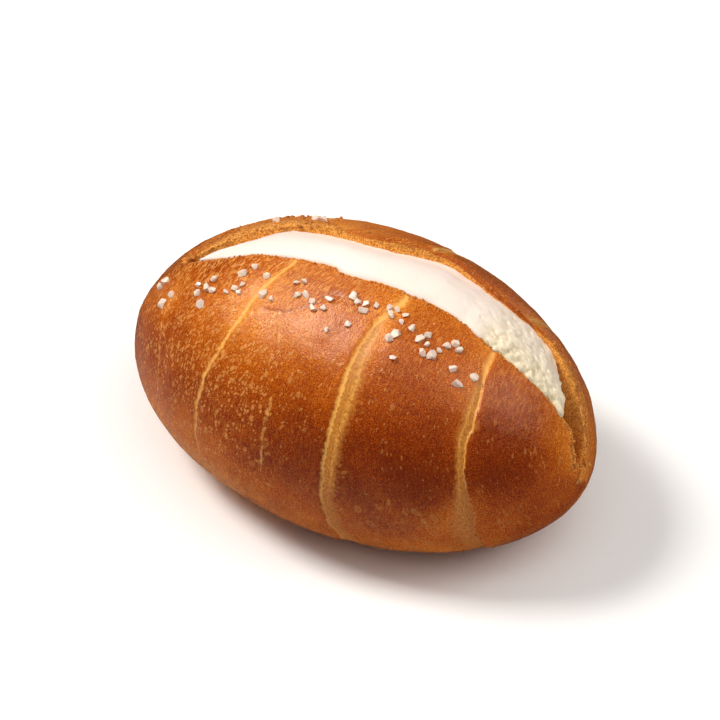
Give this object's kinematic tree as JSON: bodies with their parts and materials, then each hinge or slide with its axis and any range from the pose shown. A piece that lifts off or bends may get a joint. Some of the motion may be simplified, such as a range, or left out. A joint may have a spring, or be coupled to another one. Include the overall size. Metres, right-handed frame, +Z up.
{
  "type": "cream-filled salt bread roll",
  "caption": "Plump oval salt bread roll, slit along the top and filled with whipped white cream, with coarse salt grains on its browned, wound crust.",
  "frame": {"origin": "middle of the bounding box, on the plane of the flat base that the roll rests on", "axes": "+X along the roll, towards the end where the slit runs out at the tip; -Y towards the side with the broad crust; +Z up"},
  "size_m": [0.125, 0.0804, 0.0648],
  "materials": {
    "crust": "browned, satin bread crust with pale stretched-dough bands and white salt grains",
    "cream": "whipped off-white cream, smooth to lumpy, slightly moist"
  },
  "bodies": {
    "root": {"bread": "crust", "cream": "cream"}
  },
  "joints": []
}
